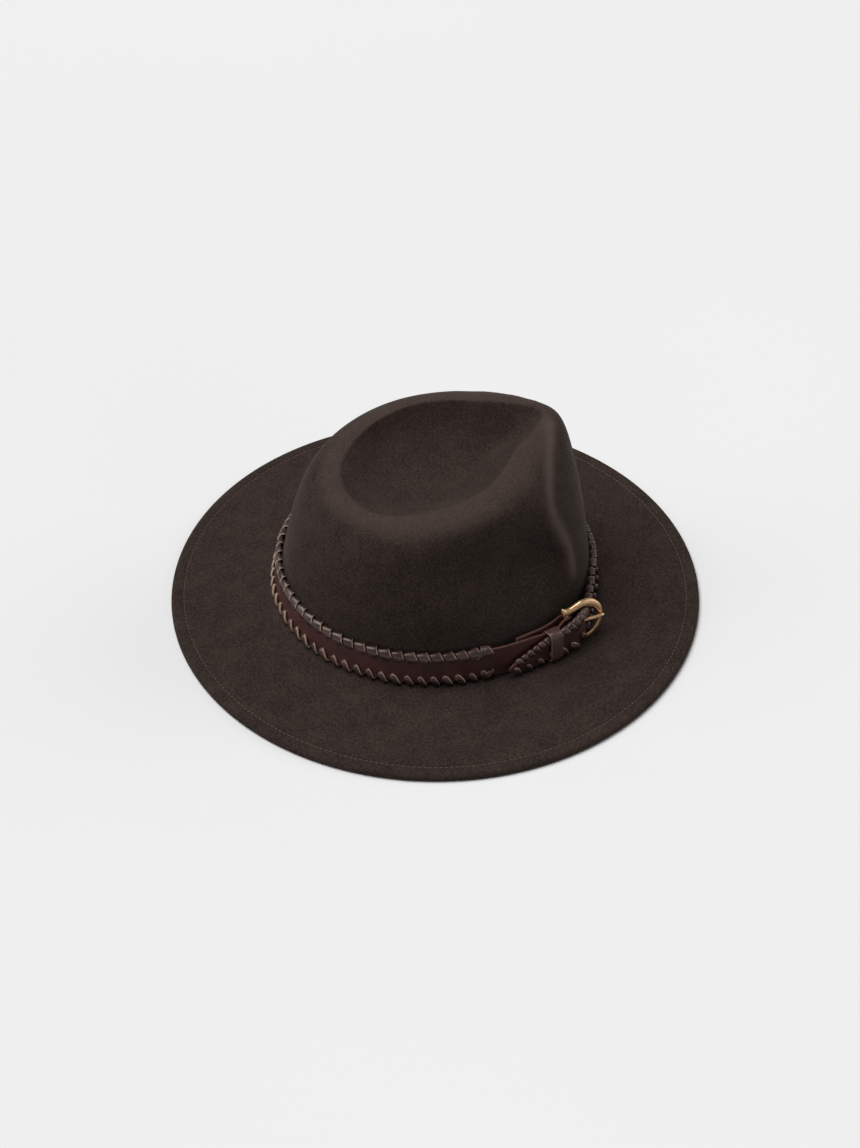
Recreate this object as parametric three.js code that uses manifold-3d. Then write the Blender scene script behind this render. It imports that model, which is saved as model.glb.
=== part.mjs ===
// A felt fedora: one hollow felt body, and a leather strap with laced edges that buckles round its crown.
// Millimetres, +Z up. The brim rests on z = 0, the hat faces -Y and the wearer's left is +X.
// A bearing is an angle in degrees seen from above, from the front (-Y) towards the wearer's right (-X).
import * as THREE from "three";
import { mergeVertices } from "three/addons/utils/BufferGeometryUtils.js";
import Module from "manifold-3d";

const wasm = await Module();
wasm.setup();

// Driving sizes
const feltThickness = 2.1;
const head = { halfLength: 98.5, halfWidth: 87, power: 2.08 };
const brim = { radius: 164.5, hemThickness: 4.2, hemWidth: 8, edgeRound: 1.6 };
const root = { height: 11.8, riseToBack: 5, riseToLeft: 5, fillet: 2 };
const wall = { leanAtSide: 7, leanChange: 3, rounderOnRight: 0.2 };
const hollow = { floorHeight: 93 };
const leather = { thickness: 1.6, halfWidth: 9.5 };
const lace = { wall: 0.7, overEdge: 1, grip: 3 };
const gap = 0.3;
const strapMiddle = root.height + 12;
const bar = { along: 48, across: 81.4, radius: 1.4, halfHeight: 10.4, turnOut: 9.2 };
const frame = { back: -3.5, arch: 11.2, outerRadius: 14.4, innerRadius: 11.4, thickness: 3, bevel: 0.7 };
const framePlace = { out: 0.6, rise: 3.1, tilt: 6, footDraw: 2.6 };
const prong = { radius: 1.1, ringOuter: 2.7, ringHalfHeight: 1.5, rise: 4 };
const keeper = { along: -14.5, width: 8, thickness: 1, back: 1.2, front: 9.1, top: 8.2, bottom: -10.8 };

// Crown sections from front to back. Both sides are alike, apart from the tilt and a rounder right side.
// bearing; reach and height of the top ridge; wallHandle and shoulder round the wall into the ridge;
// ridgeHandle and floorHandle round the ridge into the hollow on top.
const crownSections = [
  { bearing: 0, reach: 74, height: 120, wallHandle: 78, shoulder: 17, ridgeHandle: 9, floorHandle: 46 },
  { bearing: 14, reach: 61, height: 120.5, wallHandle: 78, shoulder: 24, ridgeHandle: 7, floorHandle: 40 },
  { bearing: 28, reach: 50, height: 120.5, wallHandle: 75, shoulder: 29, ridgeHandle: 5, floorHandle: 36 },
  { bearing: 46, reach: 45.5, height: 118.5, wallHandle: 68, shoulder: 30, ridgeHandle: 3, floorHandle: 36 },
  { bearing: 70, reach: 45.5, height: 115.5, wallHandle: 62, shoulder: 31, ridgeHandle: 3, floorHandle: 37 },
  { bearing: 110, reach: 48, height: 111.5, wallHandle: 64, shoulder: 31, ridgeHandle: 3, floorHandle: 40 },
  { bearing: 140, reach: 54, height: 107.5, wallHandle: 66, shoulder: 28, ridgeHandle: 5, floorHandle: 41 },
  { bearing: 160, reach: 59, height: 105.5, wallHandle: 67, shoulder: 23, ridgeHandle: 8, floorHandle: 42 },
  { bearing: 180, reach: 61, height: 105, wallHandle: 66, shoulder: 21, ridgeHandle: 12, floorHandle: 42 },
];

// Dents pressed into the wall (a minus depth swells it). ahead, behind, below and above are how far
// each one spreads from its middle, and slant carries its lower end forwards. A creased dent ends in a
// sharp fold ahead, which is the pinch at the front of the crown.
const dents = [
  { bearing: 70, height: 70, ahead: 28, behind: 36, below: 19, above: 20, depth: 14, slant: -0.2, creased: true },
  { bearing: -70, height: 70, ahead: 28, behind: 36, below: 19, above: 20, depth: 12, slant: -0.2, creased: true },
  { bearing: 98, height: 86, ahead: 22, behind: 30, below: 24, above: 14, depth: 5, slant: 0, creased: false },
  { bearing: 92, height: 60, ahead: 9, behind: 9, below: 9, above: 12, depth: -1.5, slant: 0, creased: false },
  { bearing: 113, height: 55, ahead: 13, behind: 13, below: 9, above: 12, depth: -1.8, slant: 0, creased: false },
];

// The strap's way round, in order. In the straight run, along is measured from the buckle's bar
// towards the front and out is away from the crown; elsewhere bearing and standOff place it.
// rise lifts its middle and halfWidth is half its width.
const strapStart = [
  { along: -38, out: 0.2, rise: 1.5, halfWidth: 9.5 },
  { along: -28, out: 0.1, rise: 1.3, halfWidth: 9.2 },
  { along: -18, out: 0, rise: 1.3, halfWidth: 8.7 },
  { along: -9, out: -1, rise: 2, halfWidth: 8.1 },
  { along: -4, out: -2.1, rise: 2.5, halfWidth: 7.8 },
];
const strapReturn = [
  { along: -4, out: 2.7, rise: 2.5, halfWidth: 7.8 },
  { along: -9, out: 3.6, rise: 0, halfWidth: 8 },
  { along: -16, out: 3.7, rise: -1, halfWidth: 8.8 },
  { along: -26, out: 3, rise: -0.7, halfWidth: 9.4 },
  { along: -36, out: 2.3, rise: 0, halfWidth: 9.5 },
];
const strapRound = { from: 97, to: 391, step: 7, standOff: 2.3 };
const strapTail = [
  { along: 32, out: -16, rise: 1.9, halfWidth: 9.4 },
  { along: 28, out: -11.8, rise: 1.8, halfWidth: 9.1 },
  { along: 24, out: -7.7, rise: 1.9, halfWidth: 8.6 },
  { along: 20, out: -3.9, rise: 2.1, halfWidth: 8.1 },
  { along: 16.5, out: -0.8, rise: 2.2, halfWidth: 7.9 },
  { along: 13, out: 2, rise: 2.2, halfWidth: 7.9 },
  { along: 9.5, out: 4.3, rise: 1.6, halfWidth: 7.9 },
  { along: 6, out: 5.8, rise: 0.6, halfWidth: 8.1 },
  { along: 2, out: 6.7, rise: -0.4, halfWidth: 8.3 },
  { along: -3, out: 7.1, rise: -1.2, halfWidth: 8.1 },
  { along: -9, out: 6.9, rise: -1.6, halfWidth: 7.6 },
  { along: -14, out: 6.8, rise: -1.7, halfWidth: 7.4 },
  { along: -20, out: 6.6, rise: -2.1, halfWidth: 7.1 },
  { along: -28, out: 6.4, rise: -3.5, halfWidth: 6.4 },
  { along: -35, out: 6, rise: -4.7, halfWidth: 5.3 },
  { along: -41, out: 5.4, rise: -5.5, halfWidth: 3.8 },
  { along: -45, out: 4.9, rise: -6.1, halfWidth: 2.4 },
  { along: -47, out: 4.6, rise: -6.4, halfWidth: 1.2 },
];

// The prong's way from the bar, up through the tail and over the frame's arch.
const prongWay = [
  { along: 2.2, out: 0 },
  { along: 7, out: 1.9 },
  { along: 11, out: 3.2 },
  { along: 14.5, out: 4.3 },
  { along: 18, out: 5.2 },
  { along: 21, out: 5.8 },
  { along: 24.8, out: 6.1 },
];

const radians = THREE.MathUtils.degToRad;

// One column of the crown sections at any bearing, as a smooth curve through the rows.
function crownValue(bearing, column) {
  const at = Math.abs(((((bearing + 180) % 360) + 360) % 360) - 180);
  const last = crownSections.length - 1;
  let i = 0;
  while (i < last - 1 && crownSections[i + 1].bearing < at) i += 1;
  const rowAt = (k) => {
    if (k < 0) return { x: -crownSections[-k].bearing, y: crownSections[-k][column] };
    if (k > last) return { x: 360 - crownSections[2 * last - k].bearing, y: crownSections[2 * last - k][column] };
    return { x: crownSections[k].bearing, y: crownSections[k][column] };
  };
  const [before, start, end, after] = [rowAt(i - 1), rowAt(i), rowAt(i + 1), rowAt(i + 2)];
  const span = end.x - start.x;
  const slopeStart = ((end.y - before.y) / (end.x - before.x)) * span;
  const slopeEnd = ((after.y - start.y) / (after.x - start.x)) * span;
  const t = (at - start.x) / span;
  return (
    start.y * (2 * t ** 3 - 3 * t ** 2 + 1) +
    slopeStart * (t ** 3 - 2 * t ** 2 + t) +
    end.y * (3 * t ** 2 - 2 * t ** 3) +
    slopeEnd * (t ** 3 - t ** 2)
  );
}

function bezier(a, b, c, d, t) {
  const s = 1 - t;
  return s ** 3 * a + 3 * s * s * t * b + 3 * s * t * t * c + t ** 3 * d;
}

// The head oval: its radius, its outward direction and the point that far outside it.
function headRadius(bearing) {
  const c = Math.abs(Math.cos(radians(bearing))) / head.halfLength;
  const s = Math.abs(Math.sin(radians(bearing))) / head.halfWidth;
  return (c ** head.power + s ** head.power) ** (-1 / head.power);
}

function headOutward(bearing) {
  const x = -Math.sin(radians(bearing));
  const y = -Math.cos(radians(bearing));
  const n = head.power;
  const nx = Math.sign(x) * Math.abs(x / head.halfWidth) ** (n - 1) / head.halfWidth;
  const ny = Math.sign(y) * Math.abs(y / head.halfLength) ** (n - 1) / head.halfLength;
  return new THREE.Vector3(nx, ny, 0).normalize();
}

function headPoint(bearing, standOff) {
  const r = headRadius(bearing);
  const onOval = new THREE.Vector3(-r * Math.sin(radians(bearing)), -r * Math.cos(radians(bearing)), 0);
  return onOval.addScaledVector(headOutward(bearing), standOff);
}

// The crown's foot and the strap are tilted alike: higher at the back and at the wearer's left.
function tiltAt(x, y) {
  return (root.riseToBack * y) / head.halfLength + (root.riseToLeft * x) / head.halfWidth;
}

function wallLean(bearing) {
  return radians(wall.leanAtSide - wall.leanChange * Math.cos(radians(bearing)));
}

// A dent moves a point of the wall towards the middle of the hat.
const foldRadius = 0.03;

function pressDents(point) {
  const moved = point.clone();
  for (const dent of dents) {
    const outX = -Math.sin(radians(dent.bearing));
    const outY = -Math.cos(radians(dent.bearing));
    const side = Math.sign(dent.bearing);
    const dz = point.z - dent.height;
    const along = side * (point.x * outY - point.y * outX) + dent.slant * dz;
    const outward = point.x * outX + point.y * outY;
    const spreadAlong = along > 0 ? dent.behind : dent.ahead;
    const spreadUp = dz > 0 ? dent.above : dent.below;
    const gentle = Math.exp(-0.5 * (along / spreadAlong) ** 2);
    const rest = 1 - (along / dent.ahead) ** 2;
    const sharp = (rest + Math.sqrt(rest ** 2 + foldRadius)) / 2;
    const fade = THREE.MathUtils.clamp((outward - 5) / 35, 0, 1);
    const weight = (dent.creased && along < 0 ? sharp : gentle) * Math.exp(-0.5 * (dz / spreadUp) ** 2) * fade;
    moved.x -= dent.depth * weight * outX;
    moved.y -= dent.depth * weight * outY;
  }
  return moved;
}

// The felt's outer face along one bearing: level 0 to 1 is the brim from its edge to the crown's foot,
// 1 to 2 the fillet, 2 to 3 the wall up to the ridge and 3 to 4 the hollow to the middle of the top.
function outerFace(bearing, level) {
  const sine = Math.sin(radians(bearing));
  const cosine = Math.cos(radians(bearing));
  const oval = headRadius(bearing);
  const foot = root.height + tiltAt(-oval * sine, -oval * cosine);
  const wallFoot = foot + root.fillet;
  let r;
  let z;
  if (level <= 1) {
    r = THREE.MathUtils.lerp(brim.radius, oval + root.fillet, level);
    const climb = 0.75 * level + 0.25 * level * level;
    z = THREE.MathUtils.lerp(brim.hemThickness, foot, climb);
  } else if (level <= 2) {
    const turn = ((level - 1) * Math.PI) / 2;
    r = oval + root.fillet * (1 - Math.sin(turn));
    z = foot + root.fillet * (1 - Math.cos(turn));
  } else {
    const lean = wallLean(bearing);
    const reach = crownValue(bearing, "reach");
    const height = crownValue(bearing, "height") - (root.riseToLeft * reach * sine) / head.halfWidth;
    const handle = crownValue(bearing, "wallHandle");
    if (level <= 3) {
      const t = level - 2;
      const shoulder = crownValue(bearing, "shoulder") * (1 + wall.rounderOnRight * sine);
      r = bezier(oval, oval - handle * Math.sin(lean), reach + shoulder, reach, t);
      z = bezier(wallFoot, wallFoot + handle * Math.cos(lean), height, height, t);
    } else {
      const t = level - 3;
      r = bezier(reach, reach - crownValue(bearing, "ridgeHandle"), crownValue(bearing, "floorHandle"), 0, t);
      z = bezier(height, height, hollow.floorHeight, hollow.floorHeight, t);
    }
  }
  const point = new THREE.Vector3(-r * sine, -r * cosine, z);
  return level > 2 ? pressDents(point) : point;
}

// The inner face lies the felt's thickness inside the outer one.
function innerFace(bearing, level) {
  const small = 0.02;
  const low = Math.max(level - small, 0);
  const high = Math.min(level + small, 3.98);
  const alongLevel = outerFace(bearing, high).sub(outerFace(bearing, low));
  const alongBearing = outerFace(bearing + 0.5, level).sub(outerFace(bearing - 0.5, level));
  const outward = alongLevel.cross(alongBearing).normalize();
  return outerFace(bearing, level).addScaledVector(outward, -feltThickness);
}

function meshFrom(points, faces, name, material) {
  const geometry = new THREE.BufferGeometry();
  geometry.setAttribute("position", new THREE.Float32BufferAttribute(points.flatMap((p) => [p.x, p.y, p.z]), 3));
  geometry.setIndex(faces.flat());
  geometry.computeVertexNormals();
  const mesh = new THREE.Mesh(geometry, material);
  mesh.name = name;
  return mesh;
}

// Felt body: rows run from the middle of the top down the outside, round the hem and back up inside.
const outerLevels = [3.8, 3.6, 3.42, 3.26, 3.12, 3, 2.9, 2.8, 2.68, 2.55, 2.42, 2.28, 2.14, 2, 1.5, 1, 0.8, 0.55, 0.3, 0.12];
const innerLevels = [0.13, 0.3, 0.55, 0.8, 1, 1.5, 2, 2.14, 2.28, 2.42, 2.55, 2.68, 2.8, 2.9, 3, 3.12, 3.26, 3.42, 3.6, 3.8];
const feltSegments = 72;

function hemRow(bearing) {
  const round = brim.edgeRound;
  const top = brim.hemThickness;
  const profile = [
    { inset: round, z: top },
    { inset: 0.3 * round, z: top - 0.3 * round },
    { inset: 0, z: top - round },
    { inset: 0, z: round },
    { inset: 0.3 * round, z: 0.3 * round },
    { inset: round, z: 0 },
    { inset: brim.hemWidth - 0.4, z: 0 },
  ];
  return profile.map(({ inset, z }) => {
    const r = brim.radius - inset;
    return new THREE.Vector3(-r * Math.sin(radians(bearing)), -r * Math.cos(radians(bearing)), z);
  });
}

function feltBody(material) {
  const columns = [];
  for (let i = 0; i < feltSegments; i += 1) {
    const bearing = (360 * i) / feltSegments;
    const outer = outerLevels.map((level) => outerFace(bearing, level));
    const inner = innerLevels.map((level) => innerFace(bearing, level));
    columns.push([...outer, ...hemRow(bearing), ...inner]);
  }
  const rows = columns[0].length;
  const points = columns.flat();
  const topOutside = points.push(new THREE.Vector3(0, 0, hollow.floorHeight)) - 1;
  const topInside = points.push(new THREE.Vector3(0, 0, hollow.floorHeight - feltThickness)) - 1;
  const faces = [];
  for (let i = 0; i < feltSegments; i += 1) {
    const here = i * rows;
    const next = ((i + 1) % feltSegments) * rows;
    faces.push([topOutside, next, here]);
    for (let j = 0; j < rows - 1; j += 1) {
      faces.push([here + j, next + j, here + j + 1], [next + j, next + j + 1, here + j + 1]);
    }
    faces.push([topInside, here + rows - 1, next + rows - 1]);
  }
  return meshFrom(points, faces, "felt_body", material);
}

// The straight run's own frame at the buckle's bar: x runs along towards the front, z up the strap and
// -y out from the crown. It leans with the wall and slopes with the crown's foot.
const straightRun = new THREE.Group();
straightRun.rotation.order = "ZYX";
{
  const slopeAlong = tiltAt(Math.sin(radians(bar.turnOut)), -Math.cos(radians(bar.turnOut)));
  const lean = wallLean(60);
  straightRun.position.set(-bar.across, -bar.along, strapMiddle + tiltAt(-bar.across, -bar.along));
  straightRun.rotation.set(-lean, -Math.atan(slopeAlong), radians(bar.turnOut - 90));
  straightRun.updateMatrixWorld(true);
}
const straightUp = new THREE.Vector3(0, 0, 1).transformDirection(straightRun.matrixWorld);

function straightStation({ along, out, rise, halfWidth }) {
  const position = new THREE.Vector3(along, -out, rise).applyMatrix4(straightRun.matrixWorld);
  return { position, up: straightUp.clone(), halfWidth };
}

function roundStation(bearing, standOff) {
  const lean = wallLean(bearing);
  const wallRun = strapMiddle - root.height - root.fillet;
  const position = headPoint(bearing, standOff - wallRun * Math.tan(lean));
  position.z = strapMiddle + tiltAt(position.x, position.y);
  const up = headOutward(bearing).multiplyScalar(-Math.sin(lean)).add(new THREE.Vector3(0, 0, Math.cos(lean)));
  return { position, up, halfWidth: leather.halfWidth };
}

// Stations where the strap turns round the bar.
function barTurn() {
  const radius = bar.radius + gap + leather.thickness / 2;
  const stations = [];
  for (let i = 0; i <= 6; i += 1) {
    const turn = (Math.PI * i) / 6;
    const place = { along: radius * Math.sin(turn), out: -radius * Math.cos(turn) };
    stations.push(straightStation({ ...strapReturn[0], ...place }));
  }
  return stations;
}

function lacedStations() {
  const stations = [];
  for (let bearing = strapRound.from; bearing <= strapRound.to; bearing += strapRound.step) {
    stations.push(roundStation(bearing, strapRound.standOff));
  }
  return [...stations, ...strapTail.map(straightStation)];
}

// Sweep a section along stations. section(station) lists [out, up] points round the strap's middle,
// anticlockwise as seen looking back from further along the way.
function sweep(stations, section, name, material) {
  const points = [];
  stations.forEach((station, i) => {
    const before = stations[Math.max(i - 1, 0)].position;
    const after = stations[Math.min(i + 1, stations.length - 1)].position;
    const tangent = after.clone().sub(before).normalize();
    const outward = station.up.clone().cross(tangent).normalize();
    for (const [out, up] of section(station)) {
      points.push(station.position.clone().addScaledVector(outward, out).addScaledVector(station.up, up));
    }
  });
  const corners = points.length / stations.length;
  const faces = [];
  for (let i = 0; i < stations.length - 1; i += 1) {
    for (let j = 0; j < corners; j += 1) {
      const k = (j + 1) % corners;
      const [a, b, c, d] = [i * corners + j, i * corners + k, (i + 1) * corners + j, (i + 1) * corners + k];
      faces.push([a, b, c], [b, d, c]);
    }
  }
  const outline = section(stations[0]).map(([x, y]) => new THREE.Vector2(x, y));
  const last = (stations.length - 1) * corners;
  for (const [a, b, c] of THREE.ShapeUtils.triangulateShape(outline, [])) {
    faces.push([a, c, b], [last + a, last + b, last + c]);
  }
  return meshFrom(points, faces, name, material);
}

function strapSection({ halfWidth }) {
  const t = leather.thickness / 2;
  return [[-t, -halfWidth], [t, -halfWidth], [t, halfWidth], [-t, halfWidth]];
}

// The lacing's channel over one edge of the strap.
function laceSection(halfWidth, side) {
  const slot = leather.thickness / 2 + gap;
  const outer = slot + lace.wall;
  const edge = halfWidth + gap;
  const crest = edge + lace.overEdge;
  const low = halfWidth - lace.grip;
  const round = [
    [slot, low], [outer, low], [outer, edge], [slot, crest],
    [-slot, crest], [-outer, edge], [-outer, low], [-slot, low], [-slot, edge], [slot, edge],
  ];
  return side > 0 ? round : round.map(([out, up]) => [out, -up]).reverse();
}

function solidOf(geometry) {
  const plain = geometry.index ? geometry.toNonIndexed() : geometry.clone();
  plain.deleteAttribute("normal");
  plain.deleteAttribute("uv");
  const merged = mergeVertices(plain, 1e-4);
  return new wasm.Manifold(new wasm.Mesh({
    numProp: 3,
    vertProperties: new Float32Array(merged.attributes.position.array),
    triVerts: new Uint32Array(merged.index.array),
  }));
}

function meshOf(solid, name, material) {
  const { numProp, vertProperties, triVerts } = solid.getMesh();
  const geometry = new THREE.BufferGeometry();
  geometry.setAttribute("position", new THREE.BufferAttribute(new Float32Array(vertProperties), numProp));
  geometry.setIndex(new THREE.BufferAttribute(new Uint32Array(triVerts), 1));
  geometry.computeVertexNormals();
  const mesh = new THREE.Mesh(geometry, material);
  mesh.name = name;
  return mesh;
}

// A block in the straight run's frame at the prong's height, for cutting its slots.
function prongBlock({ alongFrom, alongTo, outFrom, outTo }) {
  const height = 2 * (prong.ringHalfHeight + gap);
  const block = new THREE.BoxGeometry(alongTo - alongFrom, outTo - outFrom, height);
  block.translate((alongFrom + alongTo) / 2, -(outFrom + outTo) / 2, prong.rise);
  return solidOf(block.applyMatrix4(straightRun.matrixWorld));
}

function leatherStrap(material) {
  const stations = [
    ...strapStart.map(straightStation),
    ...barTurn(),
    ...strapReturn.map(straightStation),
    roundStation(90, strapRound.standOff + 0.9),
    ...lacedStations(),
  ];
  const strip = sweep(stations, strapSection, "leather_strap", material);
  const atBar = { alongFrom: -4.5, alongTo: 4, outFrom: -4, outTo: 3.8 };
  const inTail = { alongFrom: 6.3, alongTo: 14.2, outFrom: 0, outTo: 8 };
  const cut = solidOf(strip.geometry).subtract(prongBlock(atBar)).subtract(prongBlock(inTail));
  return meshOf(cut, "leather_strap", material);
}

function laceEdge(side, name, material) {
  const stations = lacedStations().filter(({ halfWidth }) => halfWidth > lace.grip + 0.6);
  return sweep(stations, ({ halfWidth }) => laceSection(halfWidth, side), name, material);
}

// The keeper loop round the strap's return layer and its tail.
function keeperLoop(material) {
  const ring = (grow) => {
    const [left, right] = [keeper.back + keeper.thickness - grow, keeper.front + grow];
    const [low, high] = [keeper.bottom - grow, keeper.top + grow];
    const r = 0.4 + grow;
    const path = grow > 0 ? new THREE.Shape() : new THREE.Path();
    path.moveTo(left + r, low);
    path.lineTo(right - r, low);
    path.absarc(right - r, low + r, r, -Math.PI / 2, 0, false);
    path.absarc(right - r, high - r, r, 0, Math.PI / 2, false);
    path.absarc(left + r, high - r, r, Math.PI / 2, Math.PI, false);
    path.absarc(left + r, low + r, r, Math.PI, (3 * Math.PI) / 2, false);
    return path;
  };
  const outline = ring(keeper.thickness);
  outline.holes.push(ring(0));
  const loop = new THREE.ExtrudeGeometry(outline, { depth: keeper.width, bevelEnabled: false, curveSegments: 4 });
  const axes = new THREE.Matrix4().makeBasis(
    new THREE.Vector3(0, -1, 0), new THREE.Vector3(0, 0, 1), new THREE.Vector3(-1, 0, 0),
  );
  loop.applyMatrix4(axes.setPosition(keeper.along + keeper.width / 2, 0, 0));
  const mesh = new THREE.Mesh(loop, material);
  mesh.name = "keeper_loop";
  return mesh;
}

// Horseshoe frame with a round bar across its feet, one piece of metal.
function buckleFrame(material) {
  const { back, arch, outerRadius, innerRadius, thickness, bevel } = frame;
  const [outer, inner] = [outerRadius - bevel, innerRadius + bevel];
  const foot = back + bevel;
  const [outerFoot, innerFoot] = [outer - framePlace.footDraw, inner - framePlace.footDraw];
  const outline = new THREE.Shape();
  outline.moveTo(foot, -outerFoot - 0.5);
  outline.quadraticCurveTo(foot + 2, -outerFoot + 0.5, foot + 5, -outerFoot);
  outline.quadraticCurveTo(foot + 9, -outer, arch, -outer);
  outline.absarc(arch, 0, outer, -Math.PI / 2, Math.PI / 2, false);
  outline.quadraticCurveTo(foot + 9, outer, foot + 5, outerFoot);
  outline.quadraticCurveTo(foot + 2, outerFoot - 0.5, foot, outerFoot + 0.5);
  outline.lineTo(foot + 1.4, innerFoot);
  outline.lineTo(foot + 4, innerFoot);
  outline.quadraticCurveTo(foot + 9, inner, arch, inner);
  outline.absarc(arch, 0, inner, Math.PI / 2, -Math.PI / 2, true);
  outline.quadraticCurveTo(foot + 9, -inner, foot + 4, -innerFoot);
  outline.lineTo(foot + 1.4, -innerFoot);
  outline.closePath();
  const plate = new THREE.ExtrudeGeometry(outline, {
    depth: thickness - 2 * bevel, bevelThickness: bevel, bevelSize: bevel, bevelSegments: 1, curveSegments: 9,
  });
  plate.translate(0, 0, -thickness / 2 + bevel);
  plate.rotateX(Math.PI / 2);
  plate.translate(0, -framePlace.out, 0);
  const across = new THREE.CylinderGeometry(bar.radius, bar.radius, 2 * bar.halfHeight, 12);
  across.rotateX(Math.PI / 2);
  return meshOf(solidOf(plate).add(solidOf(across)), "buckle_frame", material);
}

// The prong's ring round the bar and the rod that lies on the frame's arch.
function buckleProng(material) {
  const innerRadius = bar.radius + gap;
  const profile = [
    [innerRadius, -prong.ringHalfHeight], [prong.ringOuter, -prong.ringHalfHeight],
    [prong.ringOuter, prong.ringHalfHeight], [innerRadius, prong.ringHalfHeight],
    [innerRadius, -prong.ringHalfHeight],
  ].map(([x, y]) => new THREE.Vector2(x, y));
  const ring = new THREE.LatheGeometry(profile, 16);
  ring.rotateX(Math.PI / 2);
  const path = new THREE.CatmullRomCurve3(prongWay.map(({ along, out }) => new THREE.Vector3(along, -out, 0)));
  const circle = new THREE.Shape().absarc(0, 0, prong.radius, 0, 2 * Math.PI, false);
  const rod = new THREE.ExtrudeGeometry(circle, {
    steps: 16, bevelEnabled: false, extrudePath: path, curveSegments: 4,
  });
  return meshOf(solidOf(ring).add(solidOf(rod)), "buckle_prong", material);
}

const felt = new THREE.MeshStandardMaterial({ color: 0x2a2422, roughness: 1, metalness: 0 });
const darkLeather = new THREE.MeshStandardMaterial({ color: 0x2e1f1d, roughness: 0.5, metalness: 0 });
const laceLeather = new THREE.MeshStandardMaterial({ color: 0x4a3530, roughness: 0.45, metalness: 0 });
const paleGold = new THREE.MeshStandardMaterial({ color: 0xc9a878, roughness: 0.3, metalness: 1 });

const fedora = new THREE.Group();
fedora.add(
  feltBody(felt),
  leatherStrap(darkLeather),
  laceEdge(1, "lace_top", laceLeather),
  laceEdge(-1, "lace_bottom", laceLeather),
);

const buckle = new THREE.Group();
buckle.rotation.order = straightRun.rotation.order;
buckle.position.copy(straightRun.position);
buckle.rotation.copy(straightRun.rotation);
const frameOnBar = new THREE.Group();
frameOnBar.position.z = framePlace.rise;
frameOnBar.rotation.z = -radians(framePlace.tilt);
frameOnBar.add(buckleFrame(paleGold));
const prongOnBar = new THREE.Group();
prongOnBar.position.z = prong.rise;
prongOnBar.add(buckleProng(paleGold));
buckle.add(frameOnBar, prongOnBar, keeperLoop(darkLeather));
fedora.add(buckle);

export default fedora;
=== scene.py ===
import math
import bpy
import numpy as np
from mathutils import Matrix


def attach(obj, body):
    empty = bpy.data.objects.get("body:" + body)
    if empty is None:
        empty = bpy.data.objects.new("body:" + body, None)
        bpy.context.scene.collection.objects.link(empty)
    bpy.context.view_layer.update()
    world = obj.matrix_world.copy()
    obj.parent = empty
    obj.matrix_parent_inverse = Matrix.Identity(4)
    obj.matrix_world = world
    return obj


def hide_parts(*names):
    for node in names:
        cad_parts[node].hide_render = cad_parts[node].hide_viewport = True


# A dark felt fedora with a laced and buckled leather strap, on a pale studio floor.
# Lengths are millimetres until a mesh is made. The hat faces -Y and the wearer's left is +X.
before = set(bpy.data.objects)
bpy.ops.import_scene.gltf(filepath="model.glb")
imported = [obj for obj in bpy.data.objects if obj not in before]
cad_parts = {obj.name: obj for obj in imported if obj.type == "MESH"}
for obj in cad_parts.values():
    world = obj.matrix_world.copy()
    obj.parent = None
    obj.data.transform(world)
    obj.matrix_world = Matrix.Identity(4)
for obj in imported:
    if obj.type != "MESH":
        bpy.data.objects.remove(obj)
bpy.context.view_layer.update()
print("stage: packed model loaded,", len(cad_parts), "nodes")

metre = 0.001


def linearColour(code):
    parts = [int(code[i:i + 2], 16) / 255 for i in (1, 3, 5)]
    return tuple(p / 12.92 if p <= 0.04045 else ((p + 0.055) / 1.055) ** 2.4 for p in parts) + (1.0,)


# Adds a node, sets its properties, and fills or links its inputs.
def addNode(tree, kind, inputs=None, **settings):
    made = tree.nodes.new(kind)
    for name, value in settings.items():
        setattr(made, name, value)
    for name, value in (inputs or {}).items():
        if isinstance(value, bpy.types.NodeSocket):
            tree.links.new(value, made.inputs[name])
        else:
            made.inputs[name].default_value = value
    return made


# Camera: 42.5 degrees above the floor, at the wearer's right and a little behind.
cameraView = {"elevation": 42.5, "turn": 27, "distance": 2000, "pixelsPerUnit": 3200, "frameHeight": 1148,
              "originRight": 5.2, "originDown": 19.2}


def placeCamera(view):
    elevation, turn = math.radians(view["elevation"]), math.radians(view["turn"])
    flat = math.cos(elevation)
    away = np.array([-math.cos(turn) * flat, math.sin(turn) * flat, math.sin(elevation)])
    right = np.array([-math.sin(turn), -math.cos(turn), 0.0])
    up = np.cross(away, right)
    lens = bpy.data.cameras.new("photoCamera")
    lens.sensor_width = 36
    lens.lens = 36 * view["pixelsPerUnit"] / view["frameHeight"]
    lens.shift_x = -view["originRight"] / view["frameHeight"]
    lens.shift_y = view["originDown"] / view["frameHeight"]
    lens.clip_end = 50
    camera = bpy.data.objects.new("photoCamera", lens)
    place = away * view["distance"] * metre
    camera.matrix_world = Matrix([(right[i], up[i], away[i], place[i]) for i in range(3)] + [(0, 0, 0, 1)])
    bpy.context.scene.collection.objects.link(camera)
    bpy.context.scene.camera = camera


placeCamera(cameraView)

# The shape of the hat, as in the solid model
feltThickness = 2.1
head = {"halfLength": 98.5, "halfWidth": 87, "power": 2.08}
brim = {"radius": 164.5, "hemThickness": 4.2, "hemWidth": 8, "edgeRound": 1.6}
root = {"height": 11.8, "riseToBack": 5, "riseToLeft": 5, "fillet": 2}
wall = {"leanAtSide": 7, "leanChange": 3, "rounderOnRight": 0.2}
floorHeight = 93

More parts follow.
